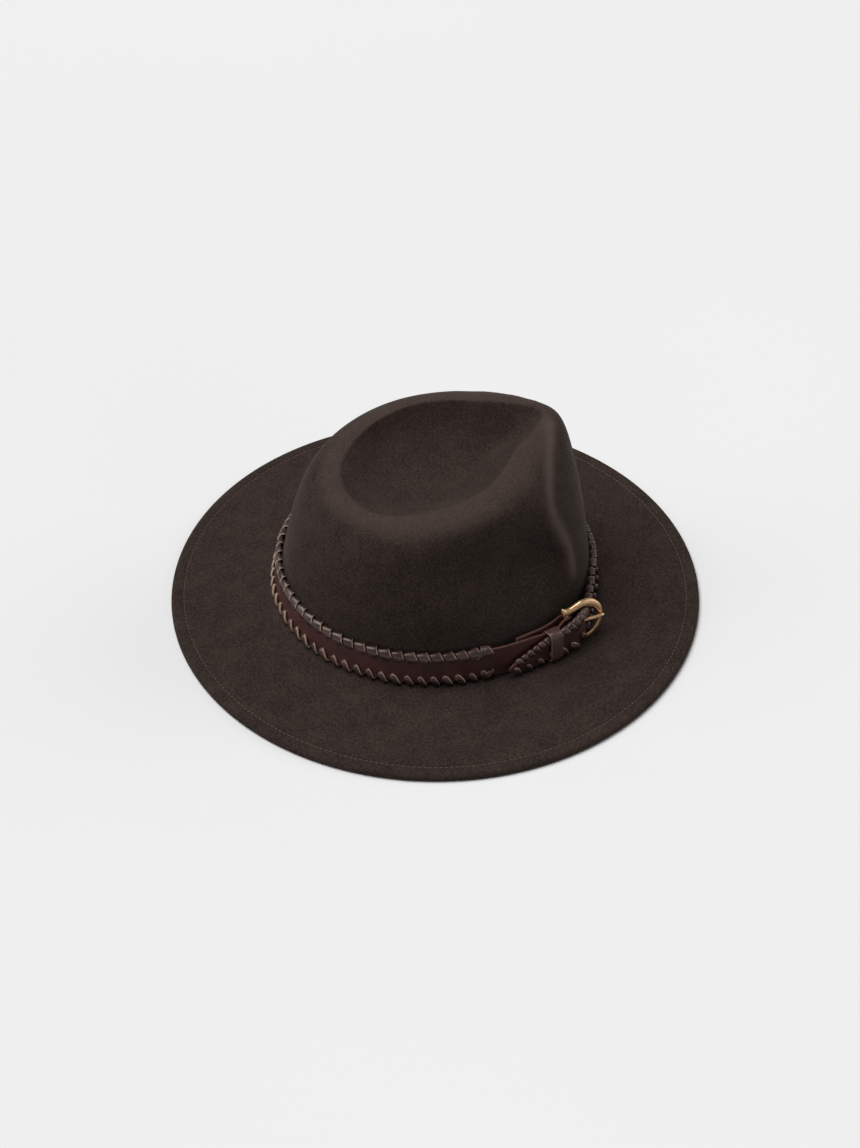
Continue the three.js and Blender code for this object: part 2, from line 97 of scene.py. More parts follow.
crownColumns = ["bearing", "reach", "height", "wallHandle", "shoulder", "ridgeHandle", "floorHandle"]
crownRows = np.array([
    [0, 74, 120, 78, 17, 9, 46],
    [14, 61, 120.5, 78, 24, 7, 40],
    [28, 50, 120.5, 75, 29, 5, 36],
    [46, 45.5, 118.5, 68, 30, 3, 36],
    [70, 45.5, 115.5, 62, 31, 3, 37],
    [110, 48, 111.5, 64, 31, 3, 40],
    [140, 54, 107.5, 66, 28, 5, 41],
    [160, 59, 105.5, 67, 23, 8, 42],
    [180, 61, 105, 66, 21, 12, 42],
])
dentColumns = ["bearing", "height", "ahead", "behind", "below", "above", "depth", "slant", "creased"]
dentRows = [
    [70, 70, 28, 36, 19, 20, 14, -0.2, 1],
    [-70, 70, 28, 36, 19, 20, 12, -0.2, 1],
    [98, 86, 22, 30, 24, 14, 5, 0, 0],
    [92, 60, 9, 9, 9, 12, -1.5, 0, 0],
    [113, 55, 13, 13, 9, 12, -1.8, 0, 0],
]
dentFade = {"foldRadius": 0.03, "from": 5, "over": 35}  # a dent fades out towards the middle of the hat


# A column of the crown table at any bearing, as a smooth curve through its rows.
def crownValue(bearing, column):
    at = np.abs((bearing + 180) % 360 - 180)
    xs, ys = crownRows[:, 0], crownRows[:, crownColumns.index(column)]
    i = np.searchsorted(xs[1:-1], at, side="left")
    xs = np.concatenate([[-xs[1]], xs, [360 - xs[-2]]])
    ys = np.concatenate([[ys[1]], ys, [ys[-2]]])
    span = xs[i + 2] - xs[i + 1]
    slopeStart = (ys[i + 2] - ys[i]) / (xs[i + 2] - xs[i]) * span
    slopeEnd = (ys[i + 3] - ys[i + 1]) / (xs[i + 3] - xs[i + 1]) * span
    t = (at - xs[i + 1]) / span
    return (ys[i + 1] * (2 * t**3 - 3 * t**2 + 1) + slopeStart * (t**3 - 2 * t**2 + t)
            + ys[i + 2] * (3 * t**2 - 2 * t**3) + slopeEnd * (t**3 - t**2))


def bezier(a, b, c, d, t):
    s = 1 - t
    return s**3 * a + 3 * s * s * t * b + 3 * s * t * t * c + t**3 * d


def headRadius(bearing):
    c = np.abs(np.cos(np.radians(bearing))) / head["halfLength"]
    s = np.abs(np.sin(np.radians(bearing))) / head["halfWidth"]
    return (c ** head["power"] + s ** head["power"]) ** (-1 / head["power"])


# The brim's width between its edge and the fillet at the crown's foot.
def brimWidth(bearing):
    return brim["radius"] - headRadius(bearing) - root["fillet"]


def headOutward(bearing):
    x, y, n = -math.sin(math.radians(bearing)), -math.cos(math.radians(bearing)), head["power"]
    nx = math.copysign(abs(x / head["halfWidth"]) ** (n - 1), x) / head["halfWidth"]
    ny = math.copysign(abs(y / head["halfLength"]) ** (n - 1), y) / head["halfLength"]
    return np.array([nx, ny, 0]) / math.hypot(nx, ny)


# The crown's foot and the strap are higher at the back and at the wearer's left.
def tiltAt(x, y):
    return root["riseToBack"] * y / head["halfLength"] + root["riseToLeft"] * x / head["halfWidth"]


def wallLean(bearing):
    return np.radians(wall["leanAtSide"] - wall["leanChange"] * np.cos(np.radians(bearing)))


def pressDents(points):
    moved = points.copy()
    for row in dentRows:
        dent = dict(zip(dentColumns, row))
        bearing = math.radians(dent["bearing"])
        outX, outY = -math.sin(bearing), -math.cos(bearing)
        side = math.copysign(1, dent["bearing"])
        dz = points[..., 2] - dent["height"]
        along = side * (points[..., 0] * outY - points[..., 1] * outX) + dent["slant"] * dz
        outward = points[..., 0] * outX + points[..., 1] * outY
        spreadUp = np.where(dz > 0, dent["above"], dent["below"])
        gentle = np.exp(-0.5 * (along / np.where(along > 0, dent["behind"], dent["ahead"])) ** 2)
        rest = 1 - (along / dent["ahead"]) ** 2
        sharp = (rest + np.sqrt(rest**2 + dentFade["foldRadius"])) / 2
        weight = np.where((along < 0) & (dent["creased"] > 0), sharp, gentle)
        weight = weight * np.exp(-0.5 * (dz / spreadUp) ** 2)
        weight *= np.clip((outward - dentFade["from"]) / dentFade["over"], 0, 1) * dent["depth"]
        moved[..., 0] -= weight * outX
        moved[..., 1] -= weight * outY
    return moved


def unitLength(vectors):
    return vectors / np.linalg.norm(vectors, axis=-1, keepdims=True)


# The felt's outer face. Level 0 to 1 is the brim from its edge, 1 to 2 the fillet at the crown's foot,
# 2 to 3 the wall up to the ridge, 3 to 4 the hollow to the middle of the top.
def outerFace(bearing, level):
    bearing, level = np.broadcast_arrays(np.asarray(bearing, float), np.asarray(level, float))
    sine, cosine, oval = np.sin(np.radians(bearing)), np.cos(np.radians(bearing)), headRadius(bearing)
    foot = root["height"] + tiltAt(-oval * sine, -oval * cosine)
    fillet, lean = root["fillet"], wallLean(bearing)
    reach, height = crownValue(bearing, "reach"), crownValue(bearing, "height")
    height = height - root["riseToLeft"] * reach * sine / head["halfWidth"]
    handle = crownValue(bearing, "wallHandle")
    shoulder = crownValue(bearing, "shoulder") * (1 + wall["rounderOnRight"] * sine)
    climb = 0.75 * level + 0.25 * level**2
    brimR = brim["radius"] + (oval + fillet - brim["radius"]) * level
    brimZ = brim["hemThickness"] + (foot - brim["hemThickness"]) * climb
    turn = (level - 1) * math.pi / 2
    filletR, filletZ = oval + fillet * (1 - np.sin(turn)), foot + fillet * (1 - np.cos(turn))
    t = level - 2
    wallR = bezier(oval, oval - handle * np.sin(lean), reach + shoulder, reach, t)
    wallZ = bezier(foot + fillet, foot + fillet + handle * np.cos(lean), height, height, t)
    t = level - 3
    topR = bezier(reach, reach - crownValue(bearing, "ridgeHandle"), crownValue(bearing, "floorHandle"), 0, t)
    topZ = bezier(height, height, floorHeight, floorHeight, t)
    which = [level <= 1, level <= 2, level <= 3]
    r = np.select(which, [brimR, filletR, wallR], topR)
    z = np.select(which, [brimZ, filletZ, wallZ], topZ)
    points = np.stack([-r * sine, -r * cosine, z], -1)
    return np.where((level > 2)[..., None], pressDents(points), points)


def outwardAt(bearing, level):
    low, high = np.maximum(level - 0.02, 0), np.minimum(level + 0.02, 3.98)
    across = np.cross(outerFace(bearing, high) - outerFace(bearing, low),
                      outerFace(bearing + 0.5, level) - outerFace(bearing - 0.5, level))
    return unitLength(across)


# A new material with its tree, its shader and the place on the object that its textures follow.
def newMaterial(name):
    material = bpy.data.materials.new(name)
    material.use_nodes = True
    tree = material.node_tree
    place = addNode(tree, "ShaderNodeTexCoord").outputs["Object"]
    return material, tree, tree.nodes["Principled BSDF"], place


# A colour between two: the first where the share is 0 and the second where it is 1.
def blended(tree, share, first, second):
    return addNode(tree, "ShaderNodeMix", {0: share, 6: first, 7: second}, data_type="RGBA").outputs[2]


def makePiece(name, points, faces, material, values=None):
    mesh = bpy.data.meshes.new(name)
    mesh.from_pydata((np.asarray(points, float) * metre).tolist(), [], faces)
    mesh.materials.append(material)
    for label, numbers in (values or {}).items():
        attribute = mesh.attributes.new(label, "FLOAT", "POINT")
        attribute.data.foreach_set("value", np.asarray(numbers, np.float32))
    mesh.polygons.foreach_set("use_smooth", [True] * len(mesh.polygons))
    mesh.validate()
    piece = bpy.data.objects.new(name, mesh)
    bpy.context.scene.collection.objects.link(piece)
    return piece


# Faces of a grid of rows and columns of points. A closed way joins its last line to its first.
def gridFaces(rows, columns, rowsClosed, columnsClosed):
    faces = []
    for i in range(rows if rowsClosed else rows - 1):
        for j in range(columns if columnsClosed else columns - 1):
            a, b = i * columns + j, i * columns + (j + 1) % columns
            c, d = (i + 1) % rows * columns + j, (i + 1) % rows * columns + (j + 1) % columns
            faces.append((a, b, d, c))
    return faces


# Faces of a tube through rows of points, with both its ends closed.
def tubeFaces(rows, columns):
    ends = [tuple(range(columns - 1, -1, -1)), tuple(range((rows - 1) * columns, rows * columns))]
    return gridFaces(rows, columns, False, True) + ends


# Brushed wool felt, blocked and steamed: matt, with a short nap that clouds the dark brown,
# has no highlight of its own and lights up a little where the surface turns away. The colour named fold
# is painted highlight on the ridge and the folds, and a faint painted light in the hollow.
feltLook = {"dark": "#211916", "light": "#3b302b", "fold": "#5b4c45", "cloudSize": 12, "napSize": 1.3,
            "napDepth": 0.3, "napShare": 0.8, "roughness": 0.95, "sheen": 0.28, "sheenTint": "#9a897f"}


def feltMaterial(look):
    material, tree, shader, place = newMaterial("brushedWoolFelt")
    clouds = addNode(tree, "ShaderNodeTexNoise", {"Vector": place, "Scale": 1000 / look["cloudSize"],
                                                  "Detail": 3.0, "Roughness": 0.5})
    # the real nap is near 0.3 mm: drawn coarser so that it shows
    nap = addNode(tree, "ShaderNodeTexNoise", {"Vector": place, "Scale": 1000 / look["napSize"],
                                               "Detail": 3.0, "Roughness": 0.7})
    both = addNode(tree, "ShaderNodeMix", {0: look["napShare"], 2: clouds.outputs[0], 3: nap.outputs[0]})
    tone = addNode(tree, "ShaderNodeMapRange", {"Value": both.outputs[0], "From Min": 0.38,
                                                "From Max": 0.63})
    ground = blended(tree, tone.outputs[0], linearColour(look["dark"]), linearColour(look["light"]))
    # the ridge and the folds carry a painted highlight and the hollow a faint painted light: paler colour
    # standing in for light
    paintedLightShare = addNode(tree, "ShaderNodeAttribute", attribute_name="napOpened").outputs["Fac"]
    colour = blended(tree, paintedLightShare, ground, linearColour(look["fold"]))
    bump = addNode(tree, "ShaderNodeBump", {"Height": nap.outputs[0], "Strength": 0.6,
                                            "Distance": look["napDepth"] * metre})
    tree.links.new(colour, shader.inputs["Base Color"])
    tree.links.new(bump.outputs[0], shader.inputs["Normal"])
    shader.inputs["Roughness"].default_value = look["roughness"]
    shader.inputs["Specular IOR Level"].default_value = 0.15
    shader.inputs["Sheen Weight"].default_value = look["sheen"]
    shader.inputs["Sheen Roughness"].default_value = 0.3
    shader.inputs["Sheen Tint"].default_value = linearColour(look["sheenTint"])
    return material


felt = feltMaterial(feltLook)

# The felt body: one skin from the middle of the top down the outside, round the hem and up inside.
# The last three shares are painted light: a painted highlight on the ridge and the folds, and a faint painted
# light in the hollow.
feltShape = {"bearings": 240, "grooveInset": 8, "grooveDepth": 0.45, "grooveWidth": 0.8, "hemPuff": 0.3,
             "edgeSteps": 5, "paintedLightOnRidge": 0.25, "paintedLightOnFold": 0.7, "paintedLightInHollow": 0.03}


def hemRelief(inset, shape):
    groove = shape["grooveDepth"] * np.exp(-((inset - shape["grooveInset"]) / shape["grooveWidth"]) ** 2)
    inside = np.clip(inset / shape["grooveInset"], 0, 1)
    return shape["hemPuff"] * np.sin(math.pi * inside) - groove


# The pinch ends in a fold on each side of the front: its levels and bearings from its foot to the top. Its
# width spreads the fold's raised bump and its painted highlight, and the highlight is painted fainter on the
# wearer's left.
pinchFold = {"level": [2.2, 2.33, 2.42, 2.51, 2.6, 2.68, 2.74, 2.8, 2.88],
             "bearing": [46.5, 46.8, 49, 51, 50, 44, 34, 21, 9],
             "width": 3.8, "raised": 0.6, "fainterOnLeft": 0.6}


def softStep(low, high, value):
    t = np.clip((value - low) / (high - low), 0, 1)
    return t * t * (3 - 2 * t)


# How near each point is to a fold of the pinch, from 0 to 1.
def nearFold(points, fold):
    level = np.linspace(fold["level"][0], fold["level"][-1], 60)
    bearing = np.interp(level, fold["level"], fold["bearing"])
    line = np.concatenate([outerFace(bearing, level), outerFace(-bearing, level)])
    away = np.min([np.sum((points - place) ** 2, axis=-1) for place in line], axis=0)
    return np.exp(-away / fold["width"] ** 2)


# The outside as levels for each bearing, from the middle of the top to the edge, closer together at the hem.
def outerLevels(bearing):
    top = 4 - np.linspace(0.05, 1, 28)
    crownWall = 3 - np.linspace(0, 1, 40)[1:]
    fillet = np.array([1.8, 1.6, 1.4, 1.2])
    insets = np.array([11.6, 10.2, 9.3, 8.8, 8.4, 8, 7.6, 7.2, 6.7, 5.8, 4.6, 3.4, 2.4, 1.6])
    hem = insets / brimWidth(bearing)
    flat = 1 + (hem[:, :1] - 1) * np.linspace(0, 1, 22)[None, :-1] ** 0.9
    every = np.ones_like(bearing)
    return np.hstack([every * top, every * crownWall, every * fillet, flat, hem])


def innerLevels():
    top = 4 - np.linspace(0.05, 1, 16)[-2::-1]
    return np.concatenate([[0.13, 0.2], np.linspace(0.3, 1, 9), [1.33, 1.66], np.linspace(2, 3, 22), top])


# How much painted light each point gets: a painted highlight on the ridge, a faint painted light in the
# hollow and the strongest painted highlight on the folds, painted fainter on the wearer's left.
def paintedLightAt(points, levels, fold, shape):
    ridge = softStep(2.7, 2.9, levels) * (1 - softStep(3.02, 3.12, levels))
    hollow = softStep(3.08, 3.3, levels)
    paintedLightShare = shape["paintedLightOnRidge"] * ridge + shape["paintedLightInHollow"] * hollow
    shown = 1 - pinchFold["fainterOnLeft"] * softStep(-6, 6, points[..., 0])
    return paintedLightShare + (shape["paintedLightOnFold"] - paintedLightShare) * fold * shown


# The brim's edge and its flat underside, as rows of the same bearings.
def hemRows(bearing, shape):
    edge, half = brim["edgeRound"], brim["hemThickness"] / 2
    turns = np.radians(np.linspace(0, 180, 2 * shape["edgeSteps"] + 1))[1:]
    hem = [(edge * (1 - math.sin(t)), half + (half * math.cos(t))) for t in turns]
    hem += [(inset, 0) for inset in (3, 4.6, 6.2, brim["hemWidth"] - 0.4)]
    radii = np.array([brim["radius"] - inset for inset, _ in hem])
    sine, cosine = np.sin(np.radians(bearing)), np.cos(np.radians(bearing))
    heights = np.ones_like(bearing) * np.array([height for _, height in hem])
    return np.stack([-radii * sine, -radii * cosine, heights], -1)


def makeFelt(shape):
    bearing = np.arange(shape["bearings"])[:, None] * 360 / shape["bearings"]
    levels = outerLevels(bearing)
    outer = outerFace(bearing, levels)
    fold = nearFold(outer, pinchFold) * (levels > 2.05)
    outer += outwardAt(bearing, levels) * fold[..., None] * pinchFold["raised"]
    # the share of painted highlight and painted light at each point of the outside
    paintedLightShare = paintedLightAt(outer, levels, fold, shape)
    inset = np.where(levels <= 1, levels * brimWidth(bearing), brim["radius"])
    outer[..., 2] += hemRelief(inset, shape)
    inside = np.ones_like(bearing) * innerLevels()
    inner = outerFace(bearing, inside) - feltThickness * outwardAt(bearing, inside)
    rows = np.concatenate([outer, hemRows(bearing, shape), inner], axis=1)
    count, deep = rows.shape[:2]
    points = rows.reshape(-1, 3).tolist() + [[0, 0, floorHeight], [0, 0, floorHeight - feltThickness]]
    plain = np.zeros((count, deep - paintedLightShare.shape[1]))
    # the middle of the top gets the hollow's faint painted light; the hem and the inside get none
    paintedLightShare = np.append(np.hstack([paintedLightShare, plain]).ravel(), [shape["paintedLightInHollow"], 0])
    faces = [face[::-1] for face in gridFaces(count, deep, True, False)]
    for i in range(count):
        here, after = i * deep, (i + 1) % count * deep
        faces += [(count * deep, after, here), (count * deep + 1, here + deep - 1, after + deep - 1)]
    return makePiece("hatFelt", points, faces, felt, {"napOpened": paintedLightShare})


hatFelt = makeFelt(feltShape)
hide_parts("felt_body")
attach(hatFelt, "root")
print("stage: felt body made,", len(hatFelt.data.polygons), "faces")


# Instances of a unit along a line of points, each turned to the line's way and its outward direction.
def unitsTree(name):
    tree = bpy.data.node_groups.new(name, "GeometryNodeTree")
    tree.interface.new_socket(name="Geometry", in_out="INPUT", socket_type="NodeSocketGeometry")
    for label, kind in (("Unit", "Object"), ("Pitch", "Float"), ("Unevenness", "Float"), ("Turn", "Float"),
                        ("Seed", "Int"), ("Finish", "Material")):
        tree.interface.new_socket(name=label, in_out="INPUT", socket_type="NodeSocket" + kind)
    tree.interface.new_socket(name="Geometry", in_out="OUTPUT", socket_type="NodeSocketGeometry")
    given = addNode(tree, "NodeGroupInput").outputs
    curve = addNode(tree, "GeometryNodeMeshToCurve", {"Mesh": given["Geometry"]})
    spaced = addNode(tree, "GeometryNodeResampleCurve", {"Curve": curve.outputs[0],
                                                         "Length": given["Pitch"]}, mode="LENGTH")
    tangent = addNode(tree, "GeometryNodeInputTangent").outputs[0]
    outward = addNode(tree, "GeometryNodeInputNamedAttribute", {"Name": "outward"},
                      data_type="FLOAT_VECTOR").outputs[0]
    unitScale = addNode(tree, "GeometryNodeInputNamedAttribute", {"Name": "unitScale"},
                        data_type="FLOAT").outputs[0]
    along = addNode(tree, "FunctionNodeAlignRotationToVector", {"Vector": tangent}, axis="X")
    facing = addNode(tree, "FunctionNodeAlignRotationToVector", {"Rotation": along.outputs[0],
                                                                 "Vector": outward},
                     axis="Y", pivot_axis="X")
    least = addNode(tree, "ShaderNodeMath", {0: 0.0, 1: given["Turn"]}, operation="SUBTRACT")
    swing = addNode(tree, "FunctionNodeRandomValue", {2: least.outputs[0], 3: given["Turn"],
                                                      "Seed": given["Seed"]}, data_type="FLOAT")
    turned = addNode(tree, "ShaderNodeCombineXYZ", {"Y": swing.outputs[1]})
    rotation = addNode(tree, "FunctionNodeRotateRotation", {"Rotation": facing.outputs[0],
                                                            "Rotate By": turned.outputs[0]},
                       rotation_space="LOCAL")
    low = addNode(tree, "ShaderNodeMath", {0: 1.0, 1: given["Unevenness"]}, operation="SUBTRACT")
    high = addNode(tree, "ShaderNodeMath", {0: 1.0, 1: given["Unevenness"]}, operation="ADD")
    random = addNode(tree, "FunctionNodeRandomValue", {2: low.outputs[0], 3: high.outputs[0],
                                                       "Seed": given["Seed"]}, data_type="FLOAT")
    size = addNode(tree, "ShaderNodeMath", {0: random.outputs[1], 1: unitScale}, operation="MULTIPLY")
    unit = addNode(tree, "GeometryNodeObjectInfo", {"Object": given["Unit"]})
    placed = addNode(tree, "GeometryNodeInstanceOnPoints", {"Points": spaced.outputs[0],
                                                            "Instance": unit.outputs["Geometry"],
                                                            "Rotation": rotation.outputs[0],
                                                            "Scale": size.outputs[0]})
    real = addNode(tree, "GeometryNodeRealizeInstances", {"Geometry": placed.outputs[0]})
    finished = addNode(tree, "GeometryNodeSetMaterial", {"Geometry": real.outputs[0],
                                                         "Material": given["Finish"]})
    addNode(tree, "NodeGroupOutput", {"Geometry": finished.outputs[0]})
    return tree


# Runs the tree on a line and keeps the result as a plain mesh.
def unitsAlong(name, tree, unit, line, outward, closed, values, scales=None):
    count = len(line)
    mesh = bpy.data.meshes.new(name + "Line")
    edges = [(i, (i + 1) % count) for i in range(count if closed else count - 1)]
    mesh.from_pydata((np.asarray(line) * metre).tolist(), edges, [])
    mesh.attributes.new("outward", "FLOAT_VECTOR", "POINT").data.foreach_set("vector", np.ravel(outward))
    scales = np.ones(count) if scales is None else scales
    mesh.attributes.new("unitScale", "FLOAT", "POINT").data.foreach_set("value", scales)
    carrier = bpy.data.objects.new(name + "Line", mesh)
    bpy.context.scene.collection.objects.link(carrier)
    modifier = carrier.modifiers.new("units", "NODES")
    modifier.node_group = tree
    sockets = {item.name: item.identifier for item in tree.interface.items_tree if item.in_out == "INPUT"}
    for label, value in {"Unit": unit, **values}.items():
        modifier[sockets[label]] = value
    evaluated = carrier.evaluated_get(bpy.context.evaluated_depsgraph_get())
    made = bpy.data.meshes.new_from_object(evaluated)
    made.name = name
    made.polygons.foreach_set("use_smooth", [True] * len(made.polygons))
    piece = bpy.data.objects.new(name, made)
    bpy.context.scene.collection.objects.link(piece)
    carrier.modifiers.remove(modifier)
    bpy.data.objects.remove(carrier)
    return piece


unitTree = unitsTree("unitsAlongLine")

# A row of machine stitches holds the felt's turned hem.
hemStitch = {"inset": 8, "pitch": 3.2, "length": 2.3, "thick": 0.55, "sunk": 0.2, "light": "#6b5148",
             "dark": "#3d2c27"}


# Spun polyester thread: matt, a little lighter and redder than the felt.
def threadMaterial(look):
    material, tree, shader, place = newMaterial("spunPolyesterThread")
    twist = addNode(tree, "ShaderNodeTexNoise", {"Vector": place, "Scale": 900.0, "Detail": 2.0})
    tone = blended(tree, twist.outputs[0], linearColour(look["dark"]), linearColour(look["light"]))
    tree.links.new(tone, shader.inputs["Base Color"])
    shader.inputs["Roughness"].default_value = 0.7
    return material


def makeHemStitches(stitch):
    rings, sides = 7, 6
    turn = np.linspace(-math.pi / 2, math.pi / 2, rings)
    points = []
    for t in turn:
        for k in range(sides):
            a = 2 * math.pi * k / sides
            r = max(math.cos(t), 0.15) ** 0.6 * stitch["thick"] / 2
            points.append([math.sin(t) * stitch["length"] / 2, r * math.cos(a), r * math.sin(a)])
    faces = gridFaces(rings, sides, False, True)
    faces += [tuple(range(sides)), tuple(range(rings * sides - 1, (rings - 1) * sides - 1, -1))]
    faces = [face[::-1] for face in faces]
    thread = threadMaterial(stitch)
    unit = makePiece("stitchUnit", points, faces, thread)
    bearing = np.arange(0, 360, 2.0)
    level = stitch["inset"] / brimWidth(bearing)
    line = outerFace(bearing, level)
    line[:, 2] += hemRelief(np.full(len(line), stitch["inset"]), feltShape)
    line[:, 2] += stitch["thick"] / 2 - stitch["sunk"]
    upward = np.tile([0.0, 0.0, 1.0], (len(line), 1))
    values = {"Pitch": stitch["pitch"] * metre, "Unevenness": 0.08, "Turn": 0.0, "Seed": 3,
              "Finish": thread}
    piece = unitsAlong("hemStitches", unitTree, unit, line, upward, True, values)
    bpy.data.objects.remove(unit)
    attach(piece, "root")
    return piece


hemStitches = makeHemStitches(hemStitch)
print("stage: hem stitched,", len(hemStitches.data.polygons), "faces")

# The strap's way, as in the solid model, but through the buckle its tail is up to 1.1 mm wider a side
# and 0.7 mm higher.
leather = {"thickness": 1.6, "halfWidth": 9.5, "edgeRound": 0.45, "step": 2.0}
gap = 0.3
strapMiddle = root["height"] + 12
bar = {"along": 48, "across": 81.4, "radius": 1.4, "halfHeight": 10.4, "turnOut": 9.2}
strapStart = [  # along, out, rise, half width
    [-38, 0.2, 1.5, 9.5], [-28, 0.1, 1.3, 9.2], [-18, 0, 1.3, 8.7], [-9, -1, 2, 8.1],
    [-4, -2.1, 2.5, 7.8],
]
strapReturn = [
    [-4, 2.7, 2.5, 7.8], [-9, 3.6, 0, 8], [-16, 3.7, -1, 8.8], [-26, 3, -0.7, 9.4], [-36, 2.3, 0, 9.5],
]
strapRound = {"from": 97, "to": 391, "step": 7, "standOff": 2.3}
strapTail = [
    [32, -16, 1.9, 9.4], [28, -11.8, 1.8, 9.1], [24, -7.7, 1.9, 8.6], [20, -3.9, 2.1, 8.1],
    [16.5, -0.8, 2.2, 7.9], [13, 2, 2.5, 8.3], [9.5, 4.3, 2, 8.9], [6, 5.8, 1.2, 9.2], [2, 6.7, 0.3, 9.2],
    [-3, 7.1, -0.7, 8.8], [-9, 6.9, -1.5, 7.8], [-14, 6.8, -1.7, 7.4], [-20, 6.6, -2.1, 7.1],
    [-28, 6.4, -3.5, 6.4], [-35, 6, -4.7, 5.3], [-41, 5.4, -5.5, 3.8], [-45, 4.9, -6.1, 2.4],
    [-47, 4.6, -6.4, 1.2],
]


# The straight run's own frame at the buckle's bar: x towards the front, z up the strap, -y outwards.
def straightFrame():
    turnOut = math.radians(bar["turnOut"])
    slope = math.atan(tiltAt(math.sin(turnOut), -math.cos(turnOut)))
    x, y = -bar["across"], -bar["along"]
    place = Matrix.Translation((x, y, strapMiddle + tiltAt(x, y)))
    return (place @ Matrix.Rotation(turnOut - math.pi / 2, 4, "Z") @ Matrix.Rotation(-slope, 4, "Y")
            @ Matrix.Rotation(-float(wallLean(60)), 4, "X"))


atBar = np.array(straightFrame())
straightUp = atBar[:3, 2]


def placed(points, matrix=atBar):
    points = np.asarray(points, float)
    return points @ matrix[:3, :3].T + matrix[:3, 3]


def straightStation(row):
    along, out, rise, halfWidth = row
    return [*placed([along, -out, rise]), *straightUp, halfWidth]


def roundStation(bearing, standOff):
    lean = float(wallLean(bearing))
    wallRun = strapMiddle - root["height"] - root["fillet"]
    radius = float(headRadius(bearing))
    outward = headOutward(bearing)
    turn = math.radians(bearing)
    place = np.array([-radius * math.sin(turn), -radius * math.cos(turn), 0])
    place += outward * (standOff - wallRun * math.tan(lean))
    place[2] = strapMiddle + tiltAt(place[0], place[1])
    up = np.array([0, 0, math.cos(lean)]) - outward * math.sin(lean)
    return [*place, *up, leather["halfWidth"]]


def barTurn():
    radius = bar["radius"] + gap + leather["thickness"] / 2
    rise, halfWidth = strapReturn[0][2:]
    turns = [math.pi * i / 12 for i in range(13)]
    return [straightStation([radius * math.sin(t), -radius * math.cos(t), rise, halfWidth])
            for t in turns]


def lacedStations():
    bearings = range(strapRound["from"], strapRound["to"] + 1, strapRound["step"])
    stations = [roundStation(bearing, strapRound["standOff"]) for bearing in bearings]
    return stations + [straightStation(row) for row in strapTail]


# A smooth line through stations, with points about one step apart.
def smoothLine(rows, step):
    rows = np.asarray(rows, float)
    chord = np.linalg.norm(np.diff(rows[:, :3], axis=0), axis=1)
    at = np.concatenate([[0], np.cumsum(chord)])
    slope = np.gradient(rows, at, axis=0)
    made = []
    for i, span in enumerate(chord):
        pieces = max(1, round(span / step))
        for t in np.arange(pieces) / pieces:
            made.append(rows[i] * (2 * t**3 - 3 * t**2 + 1) + slope[i] * span * (t**3 - 2 * t**2 + t)
                        + rows[i + 1] * (3 * t**2 - 2 * t**3) + slope[i + 1] * span * (t**3 - t**2))
    made.append(rows[-1])
    made = np.array(made)
    made[:, 3:6] = unitLength(made[:, 3:6])
    return made


def outwardOf(rows):
    return unitLength(np.cross(rows[:, 3:6], np.gradient(rows[:, :3], axis=0)))


# Cowhide dyed dark red-brown: a faint grain, a soft gloss, and cut edges that stay rough and paler.
leatherLook = {"face": "#461e1a", "deep": "#331512", "edge": "#4f2d26", "grainSize": 1.1,
               "grainDepth": 0.05, "roughness": 0.5}


def leatherMaterial(name, look):
    material, tree, shader, place = newMaterial(name)
    grain = addNode(tree, "ShaderNodeTexVoronoi", {"Vector": place, "Scale": 1000 / look["grainSize"]},
                    feature="SMOOTH_F1")
    mottle = addNode(tree, "ShaderNodeTexNoise", {"Vector": place, "Scale": 110.0, "Detail": 4.0})
    tone = addNode(tree, "ShaderNodeMapRange", {"Value": mottle.outputs[0], "From Min": 0.35,
                                                "From Max": 0.65})
    face = blended(tree, tone.outputs[0], linearColour(look["deep"]), linearColour(look["face"]))
    gloss = addNode(tree, "ShaderNodeMapRange", {"Value": mottle.outputs[0], "From Min": 0.3, "From Max": 0.7,
                                                 "To Min": look["roughness"] - 0.06,
                                                 "To Max": look["roughness"] + 0.08})
    cut = addNode(tree, "ShaderNodeAttribute", attribute_name="cutEdge").outputs["Fac"]
    colour = blended(tree, cut, face, linearColour(look["edge"]))
    rough = addNode(tree, "ShaderNodeMix", {0: cut, 2: gloss.outputs[0], 3: 0.75})
    bump = addNode(tree, "ShaderNodeBump", {"Height": grain.outputs[0], "Strength": 0.5,
                                            "Distance": look["grainDepth"] * metre})
    tree.links.new(colour, shader.inputs["Base Color"])
    tree.links.new(rough.outputs[0], shader.inputs["Roughness"])
    tree.links.new(bump.outputs[0], shader.inputs["Normal"])
    shader.inputs["Specular IOR Level"].default_value = 0.5
    return material


strapLeather = leatherMaterial("dyedCowhide", leatherLook)


# The strap's section: a rectangle with softened corners, as out and up, anticlockwise, and how far each
# point belongs to a cut edge.
def strapSection(halfWidth):
    t, r = leather["thickness"] / 2, leather["edgeRound"]
    section = []
    for cx, cy, start in ((t - r, r - halfWidth, -90), (t - r, halfWidth - r, 0),
                          (r - t, halfWidth - r, 90), (r - t, r - halfWidth, 180)):
        for step in (0, 30, 60, 90):
            a = math.radians(start + step)
            section.append((cx + r * math.cos(a), cy + r * math.sin(a), 1.0))
        if cx > 0 and start == -90 or cx < 0 and start == 90:
            side = -1 if start == 90 else 1
            for part in (0.02, 0.35, 0.65, 0.98):
                section.append((side * t, side * (-1 + 2 * part) * (halfWidth - r), 0.0))
    return np.array(section)


def makeStrap():
    start = [straightStation(row) for row in strapStart] + barTurn()
    back = [straightStation(row) for row in strapReturn] + [roundStation(90, strapRound["standOff"] + 0.9)]
    rows = smoothLine(start + back + lacedStations(), leather["step"])
    outward = outwardOf(rows)
    points, edges = [], []
    for row, out in zip(rows, outward):
        section = strapSection(row[6])
        points.append(row[:3] + section[:, :1] * out + section[:, 1:2] * row[3:6])
        edges.append(section[:, 2])
    faces = tubeFaces(len(rows), len(points[0]))
    return makePiece("strap", np.concatenate(points), faces, strapLeather,
                     {"cutEdge": np.concatenate(edges)})


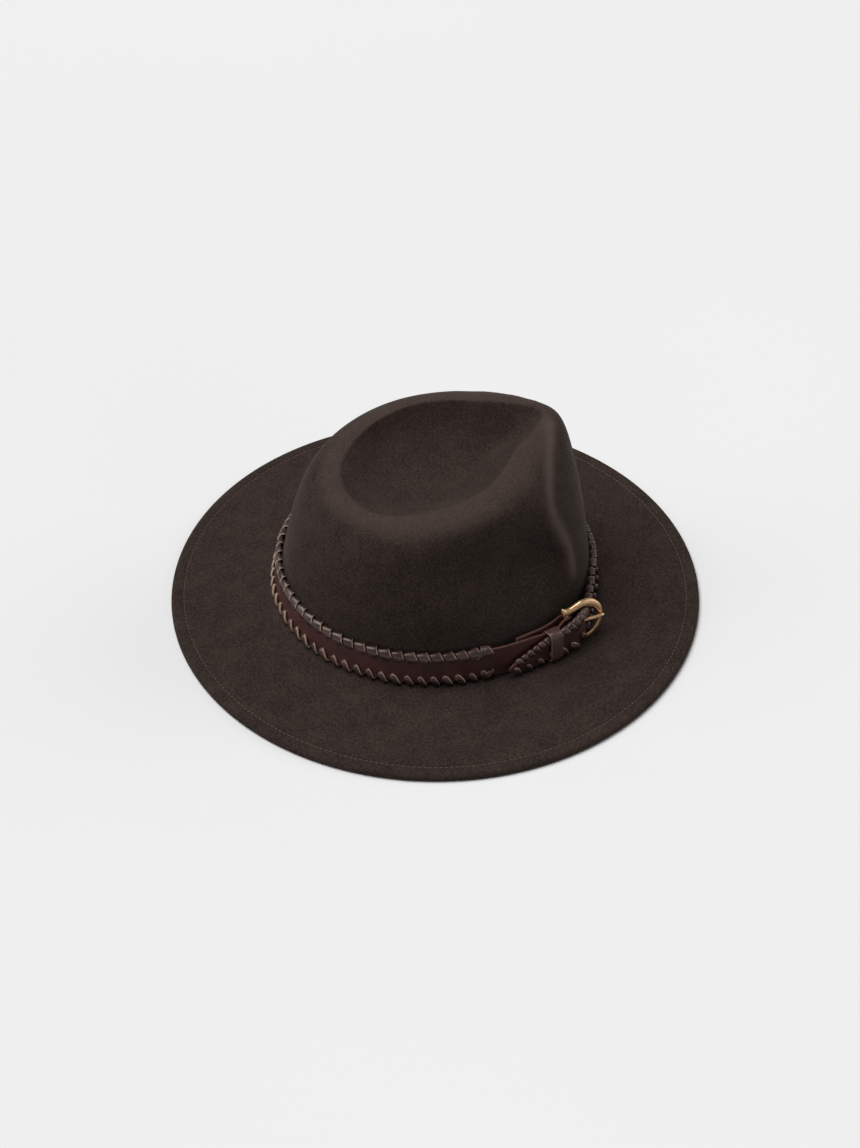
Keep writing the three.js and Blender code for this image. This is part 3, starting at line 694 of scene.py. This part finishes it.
# Cuts boxes of the straight run, given as along, out and rise ranges, out of a piece.
def cutBoxes(piece, boxes):
    for (alongFrom, alongTo), (outFrom, outTo), (riseFrom, riseTo) in boxes:
        corners = [[along, -out, rise] for along in (alongFrom, alongTo) for out in (outFrom, outTo)
                   for rise in (riseFrom, riseTo)]
        faces = [(0, 1, 3, 2), (4, 6, 7, 5), (0, 4, 5, 1), (2, 3, 7, 6), (0, 2, 6, 4), (1, 5, 7, 3)]
        block = makePiece("slotBlock", placed(corners), faces, piece.data.materials[0])
        modifier = piece.modifiers.new("slot", "BOOLEAN")
        modifier.operation, modifier.object = "DIFFERENCE", block
        evaluated = piece.evaluated_get(bpy.context.evaluated_depsgraph_get())
        cut = bpy.data.meshes.new_from_object(evaluated)
        piece.modifiers.remove(modifier)
        piece.data = cut
        bpy.data.objects.remove(block)
    piece.data.name = piece.name


prong = {"radius": 1.1, "ringOuter": 2.7, "ringHalfHeight": 1.5, "rise": 4}
prongRoom = prong["ringHalfHeight"] + gap
prongHeight = (prong["rise"] - prongRoom, prong["rise"] + prongRoom)
prongSlots = [  # room for the prong at the bar and in the tail, as along, out and rise
    ((-4.5, 4), (-4, 3.8), prongHeight),
    ((6.3, 14.2), (0, 8), prongHeight),
]
strap = makeStrap()
cutBoxes(strap, prongSlots)
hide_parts("leather_strap")
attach(strap, "root")
print("stage: strap made,", len(strap.data.polygons), "faces")

# Flat lace whipped over both edges of the strap, one turn about every 8 mm and closer along the tail's top.
laceShape = {"reach": 4.4, "tailRow": 4, "leastHalfWidth": 3.6, "unevenness": 0.09, "turn": 3,
             "fullScaleAt": 8, "leastScale": 0.75, "endWidth": 0.62, "taperRows": 3}
topTurn = {"width": 6.0, "thick": 1.0, "slant": 3.5, "roll": 0.24, "pitch": 7.7}
tailTurn = {"width": 3.9, "thick": 1.0, "slant": 2.0, "roll": 0.2, "pitch": 4.3}
bottomTurn = {"width": 3.7, "thick": 1.6, "slant": 3.4, "roll": 0, "pitch": 7.7}
endTurn = {"width": 1.9, "thick": 1.9, "slant": -3.4, "roll": 0, "pitch": 2.0}  # crosses the first turn
laceLook = {"face": "#4b3834", "deep": "#33221f", "edge": "#b09580", "grainSize": 0.8,
            "grainDepth": 0.04, "roughness": 0.3}

# Waxed leather lace: grey-brown, with bright highlights on its crests and pale raw edges.
laceLeather = leatherMaterial("waxedLaceLeather", laceLook)


laceSection = [(-1, -0.6), (-0.86, -1), (0, -1.1), (0.86, -1), (1, -0.6), (1, 0.5), (0.8, 1), (0, 1.25),
               (-0.8, 1), (-1, 0.5)]  # across and through, for half a width and half a thickness of 1


# One turn: from its hole in the strap's face, up over the edge and down to the next hole behind.
def laceUnit(name, turn, side):
    t, lift, reach = leather["thickness"] / 2, turn["thick"] / 2, laceShape["reach"]
    slant = turn["slant"] * side
    way = np.array([  # along, out, up from the strap's edge
        [-slant, t - 0.5, -reach + 0.3],
        [-slant * 0.93, t + lift + 0.1, -reach + 0.6],
        [-slant * 0.62, t + lift + 0.42, -reach * 0.6],
        [-slant * 0.3, t + lift + 0.4, -reach * 0.25],
        [-slant * 0.1, t + lift * 0.8, 0.35],
        [slant * 0.08, 0, 0.62 + lift],
        [slant * 0.3, -t - lift * 0.8, 0.2],
        [slant * 0.62, -t - lift, -reach * 0.5],
        [slant * 0.9, -t - lift * 0.5, -reach + 0.6],
        [slant, -t + 0.5, -reach + 0.3],
    ])
    rows = smoothLine(np.hstack([way, np.tile([1.0, 0, 0, 1], (len(way), 1))]), 0.9)[:, :3]
    tangent = unitLength(np.gradient(rows, axis=0))
    away = rows - np.array([0, 0, -2.5])
    away[:, 0] = 0
    away[:, 2] = np.maximum(away[:, 2], 0) * 0.6
    wide = unitLength(np.cross(tangent, away))
    thin = np.cross(wide, tangent)
    points, edges = [], []
    for k, (middle, w, n) in enumerate(zip(rows, wide, thin)):
        inward = min(1, min(k, len(rows) - 1 - k) / laceShape["taperRows"])
        taper = laceShape["endWidth"] + (1 - laceShape["endWidth"]) * inward
        for across, through in laceSection:
            lifted = through * turn["thick"] / 2 + across * turn["roll"]
            place = middle + w * across * turn["width"] / 2 * taper + n * lifted
            points.append([place[0], place[1], place[2] * side])
            edges.append(1.0 if across > 0.95 else 0.0)
    faces = tubeFaces(len(rows), len(laceSection))
    if side > 0:
        faces = [face[::-1] for face in faces]
    return makePiece(name, points, faces, laceLeather, {"cutEdge": edges})


# Laces one edge: the strap's way round with the first kind of turn, its tail with the second, and a
# cross at its start with the third.
def makeLacing(name, node, side, turns, seed):
    rows = smoothLine(lacedStations(), leather["step"])
    rows = rows[rows[:, 6] > laceShape["leastHalfWidth"]]
    tailStart = placed([strapTail[laceShape["tailRow"]][0], 0, 0])
    last = int(np.argmin(np.linalg.norm(rows[:, :2] - tailStart[:2], axis=1)))
    pieces = []
    for turn, part in zip(turns, (rows[:last + 1], rows[last:], rows[:2])):
        unit = laceUnit(name + "Unit", turn, side)
        values = {"Pitch": turn["pitch"] * metre, "Unevenness": laceShape["unevenness"],
                  "Turn": math.radians(laceShape["turn"]), "Seed": seed, "Finish": laceLeather}
        line = part[:, :3] + part[:, 3:6] * part[:, 6:7] * side
        scales = np.clip(part[:, 6] / laceShape["fullScaleAt"], laceShape["leastScale"], 1)
        pieces.append(unitsAlong(name, unitTree, unit, line, outwardOf(part), False, values, scales))
        bpy.data.objects.remove(unit)
    with bpy.context.temp_override(active_object=pieces[0], selected_editable_objects=pieces):
        bpy.ops.object.join()
    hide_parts(node)
    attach(pieces[0], "root")
    return pieces[0]


laceTop = makeLacing("laceTop", "lace_top", 1, (topTurn, tailTurn, endTurn), 5)
laceBottom = makeLacing("laceBottom", "lace_bottom", -1, (bottomTurn, bottomTurn, endTurn), 9)
print("stage: edges laced,", len(laceTop.data.polygons) + len(laceBottom.data.polygons), "faces")

# The keeper: a strip of leather closed round both layers, its face slightly domed.
keeper = {"along": -14.5, "width": 8.8, "thickness": 1, "back": 1.2, "front": 9.1, "top": 8.2,
          "bottom": -10.8, "dome": 1.2, "corner": 3.2, "innerCorner": 2.0, "bow": 0.45, "bowHeight": 24}
keeperLook = {"face": "#563c37", "deep": "#47302c", "edge": "#80625a", "grainSize": 0.9,
              "grainDepth": 0.03, "roughness": 0.38}

# Polished leather: greyer and smoother than the strap, with a soft sheen along its dome.
keeperLeather = leatherMaterial("polishedKeeperLeather", keeperLook)


# A rectangle with round corners, anticlockwise, its long sides cut into steps.
def roundedPath(left, right, low, high, radius, cornerSteps, sideSteps):
    corners = [(right - radius, low + radius, -90), (right - radius, high - radius, 0),
               (left + radius, high - radius, 90), (left + radius, low + radius, 180)]
    path = []
    for cx, cy, start in corners:
        for k in range(cornerSteps + 1):
            a = math.radians(start + 90 * k / cornerSteps)
            path.append([cx + radius * math.cos(a), cy + radius * math.sin(a)])
    made = []
    for here, after in zip(path, path[1:] + path[:1]):
        steps = sideSteps if math.dist(here, after) > 2 * radius else 1
        for k in range(steps):
            made.append([here[i] + (after[i] - here[i]) * k / steps for i in (0, 1)])
    return np.array(made)


def makeKeeper(shape):
    thick, half = shape["thickness"], shape["width"] / 2
    inner = roundedPath(shape["back"] + thick, shape["front"], shape["bottom"], shape["top"],
                        shape["innerCorner"], 4, 6)
    outer = roundedPath(shape["back"], shape["front"] + thick, shape["bottom"] - thick, shape["top"] + thick,
                        shape["corner"], 4, 6)
    middle = np.array([(shape["back"] + shape["front"]) / 2, (shape["bottom"] + shape["top"]) / 2])
    domed = [(-1, 0), (-0.97, 0.35), (-0.85, 0.6), (-0.6, 0.82), (-0.3, 0.96), (0, 1), (0.3, 0.96),
             (0.6, 0.82), (0.85, 0.6), (0.97, 0.35), (1, 0)]  # across the face, and how far it is raised
    points, edges = [], []
    for (innerOut, innerRise), (out, rise) in zip(inner, outer):
        away = np.array([out, rise]) - middle
        away /= np.linalg.norm(away)
        inFront = out > middle[0]
        bow = shape["bow"] * math.cos(math.pi * (rise - middle[1]) / shape["bowHeight"]) if inFront else 0
        for across, raised in domed:
            grow = (raised - 0.6) * shape["dome"] * (1 if inFront else 0.2)
            along = shape["along"] + across * half + bow
            points.append([along, -(out + away[0] * grow), rise + away[1] * grow])
            edges.append(1.0 if abs(across) > 0.96 else 0.0)
        for across in (0.9, -0.9):
            points.append([shape["along"] + across * half + bow, -innerOut, innerRise])
            edges.append(0.6)
    faces = gridFaces(len(outer), len(domed) + 2, True, True)
    return makePiece("keeperLoop", placed(points), faces, keeperLeather, {"cutEdge": edges})


keeperLoop = makeKeeper(keeper)
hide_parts("keeper_loop")
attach(keeperLoop, "root")
print("stage: keeper made,", len(keeperLoop.data.polygons), "faces")

# Metal plated in pale gold and brushed to a satin: warm, with broad soft highlights.
buckleLook = {"plate": "#fad3a8", "worn": "#e5b98a", "roughness": 0.36, "brushDepth": 0.03}


def platedMaterial(look):
    material, tree, shader, place = newMaterial("satinGoldPlate")
    wear = addNode(tree, "ShaderNodeTexNoise", {"Vector": place, "Scale": 260.0, "Detail": 3.0})
    tone = addNode(tree, "ShaderNodeMapRange", {"Value": wear.outputs[0], "From Min": 0.4,
                                                "From Max": 0.7})
    colour = blended(tree, tone.outputs[0], linearColour(look["plate"]), linearColour(look["worn"]))
    satin = addNode(tree, "ShaderNodeTexNoise", {"Vector": place, "Scale": 2400.0, "Detail": 2.0})
    bump = addNode(tree, "ShaderNodeBump", {"Height": satin.outputs[0], "Strength": 0.3,
                                            "Distance": look["brushDepth"] * metre})
    rough = addNode(tree, "ShaderNodeMapRange", {"Value": wear.outputs[0],
                                                 "To Min": look["roughness"] - 0.05,
                                                 "To Max": look["roughness"] + 0.08})
    tree.links.new(colour, shader.inputs["Base Color"])
    tree.links.new(rough.outputs[0], shader.inputs["Roughness"])
    tree.links.new(bump.outputs[0], shader.inputs["Normal"])
    shader.inputs["Metallic"].default_value = 1.0
    return material


goldPlate = platedMaterial(buckleLook)
buckleFrame = {"back": -3.5, "arch": 11.2, "outerRadius": 14.4, "innerRadius": 11.4, "thickness": 3,
               "round": 1.1, "out": 0.6, "rise": 3.1, "tilt": 6, "footDraw": 2.6, "flare": 2.3,
               "flareLength": 1.5, "broaderOutside": 0.68, "broaderInside": 1.02}


# The horseshoe's outlines from the lower foot round the arch to the upper foot, as along and rise. The
# feet are drawn together and flare at their ends, and the upper arm is broader than the lower one.
def buckleOutlines(shape):
    straight = np.linspace(shape["back"], shape["arch"], 16)[:-1]
    drawn = shape["footDraw"] * (1 - softStep(shape["back"] + 4, shape["arch"], straight))
    flare = shape["flare"] * np.exp(-((straight - shape["back"]) / shape["flareLength"]) ** 2)
    outerArm = np.stack([straight, -(shape["outerRadius"] - drawn + flare)], -1)
    innerArm = np.stack([straight, -(shape["innerRadius"] - drawn)], -1)
    turn = np.radians(np.linspace(-90, 90, 33))
    ring = np.stack([np.cos(turn), np.sin(turn)], -1)
    arch = np.array([shape["arch"], 0])
    outer = np.concatenate([outerArm, arch + shape["outerRadius"] * ring, outerArm[::-1] * [1, -1]])
    inner = np.concatenate([innerArm, arch + shape["innerRadius"] * ring, innerArm[::-1] * [1, -1]])
    ends = len(straight)
    upper = np.concatenate([np.zeros(ends), softStep(-10, 60, np.degrees(turn)), np.ones(ends)])[:, None]
    across = unitLength(outer - inner)
    return outer + across * upper * shape["broaderOutside"], inner - across * upper * shape["broaderInside"]


# The horseshoe, a softened square section between its outlines, and the bar across its feet.
def makeBuckleFrame(shape):
    outer, inner = buckleOutlines(shape)
    low = -shape["thickness"] / 2
    points = []
    for k, (far, near) in enumerate(zip(outer, inner)):
        middle, half = (far + near) / 2, np.linalg.norm(far - near) / 2
        away = (far - near) / (2 * half)
        end = min(k, len(outer) - 1 - k)
        shrink = 0.72 if end == 0 else 0.93 if end == 1 else 1.0
        for u, v in roundedPath(-half, half, low, -low, shape["round"], 4, 1):
            place = middle + away * u * shrink
            points.append([place[0], -shape["out"] - v * shrink, place[1]])
    faces = tubeFaces(len(outer), len(points) // len(outer))
    start, sides = len(points), 20
    for rise in (-bar["halfHeight"], bar["halfHeight"]):
        for k in range(sides):
            a = 2 * math.pi * k / sides
            points.append([bar["radius"] * math.cos(a), bar["radius"] * math.sin(a), rise])
    faces += [tuple(start + i for i in face) for face in tubeFaces(2, sides)]
    onBar = straightFrame() @ Matrix.Translation((0, 0, shape["rise"])) @ Matrix.Rotation(
        -math.radians(shape["tilt"]), 4, "Z")
    return makePiece("buckleFrame", placed(points, np.array(onBar)), faces, goldPlate)


# The prong: a ring round the bar and a rod that rises through the tail and lies on the arch.
prongWay = [[2.2, 0], [7, 1.9], [11, 3.2], [14.5, 4.3], [18, 5.2], [21, 5.8], [24.8, 6.1]]  # along, out


def makeProng(shape):
    way = np.array([[along, -out, 0] for along, out in prongWay])
    rows = smoothLine(np.hstack([way, np.tile([0.0, 0, 1, 1], (len(way), 1))]), 0.7)[:, :3]
    tangent = unitLength(np.gradient(rows, axis=0))
    side = unitLength(np.cross([0, 0, 1.0], tangent))
    points, sides = [], 14
    for k, (middle, across) in enumerate(zip(rows, side)):
        left = len(rows) - 1 - k
        r = shape["radius"] * (0.55 if left == 0 else 0.85 if left == 1 else 1.0)
        for j in range(sides):
            a = 2 * math.pi * j / sides
            points.append(middle + r * (math.cos(a) * across + math.sin(a) * np.array([0, 0, 1.0])))
    faces = tubeFaces(len(rows), sides)
    start = len(points)
    ringMiddle = (bar["radius"] + gap + shape["ringOuter"]) / 2
    halfWide = (shape["ringOuter"] - bar["radius"] - gap) / 2
    ring = roundedPath(-halfWide, halfWide, -shape["ringHalfHeight"], shape["ringHalfHeight"], 0.4, 3, 1)
    ringSides = 28
    for k in range(ringSides):
        a = 2 * math.pi * k / ringSides
        for u, v in ring:
            points.append([(ringMiddle + u) * math.cos(a), (ringMiddle + u) * math.sin(a), v])
    faces += [tuple(start + i for i in face[::-1]) for face in gridFaces(ringSides, len(ring), True, True)]
    onBar = straightFrame() @ Matrix.Translation((0, 0, shape["rise"]))
    return makePiece("buckleProng", placed(points, np.array(onBar)), faces, goldPlate)


frameOfBuckle = makeBuckleFrame(buckleFrame)
prongOfBuckle = makeProng(prong)
for piece, node in ((frameOfBuckle, "buckle_frame"), (prongOfBuckle, "buckle_prong")):
    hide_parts(node)
    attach(piece, "root")
buckleFaces = len(frameOfBuckle.data.polygons) + len(prongOfBuckle.data.polygons)
print("stage: buckle made,", buckleFaces, "faces")

# Studio: a pale floor, one broad light overhead and one at each side.
studio = {"floor": "#e1e1e1", "floorShade": "#dcdcdc", "floorHalf": 6000, "floorDown": 0.05,
          "worldLight": 0.14}
lamps = [  # name, strength, spread in degrees, where it shines from
    ("overhead", 3.05, 50, (0.24, 0.3, 1.0)),
    ("leftSide", 0.35, 35, (0.454, 0.891, 0.5)),
    ("rightSide", 0.6, 35, (-0.2, -0.98, 0.5)),
]


# Painted board: an even, matt, pale grey, shaded so faintly that it reads as plain.
def makeFloor():
    half, level = studio["floorHalf"], -studio["floorDown"]
    material, tree, shader, place = newMaterial("paintedBoard")
    faint = addNode(tree, "ShaderNodeTexNoise", {"Vector": place, "Scale": 2.0})
    tone = blended(tree, faint.outputs[0], linearColour(studio["floorShade"]), linearColour(studio["floor"]))
    tree.links.new(tone, shader.inputs["Base Color"])
    shader.inputs["Roughness"].default_value = 0.9
    shader.inputs["Specular IOR Level"].default_value = 0.0
    corners = [(-half, -half, level), (half, -half, level), (half, half, level), (-half, half, level)]
    makePiece("studioFloor", corners, [(0, 1, 2, 3)], material)


def makeLights():
    world = bpy.data.worlds.new("studioAir")
    world.use_nodes = True
    background = world.node_tree.nodes["Background"]
    background.inputs["Color"].default_value = (1, 1, 1, 1)
    background.inputs["Strength"].default_value = studio["worldLight"]
    bpy.context.scene.world = world
    for name, strength, spread, away in lamps:
        light = bpy.data.lights.new(name, "SUN")
        light.energy, light.angle = strength, math.radians(spread)
        lamp = bpy.data.objects.new(name, light)
        away = np.array(away) / np.linalg.norm(away)
        right = np.cross([0, 0, 1.0], away)
        right /= np.linalg.norm(right)
        up = np.cross(away, right)
        lamp.matrix_world = Matrix([(right[i], up[i], away[i], away[i]) for i in range(3)] + [(0, 0, 0, 1)])
        bpy.context.scene.collection.objects.link(lamp)
    bpy.context.scene.view_settings.view_transform = "Standard"


makeFloor()
makeLights()
print("stage: studio lit")
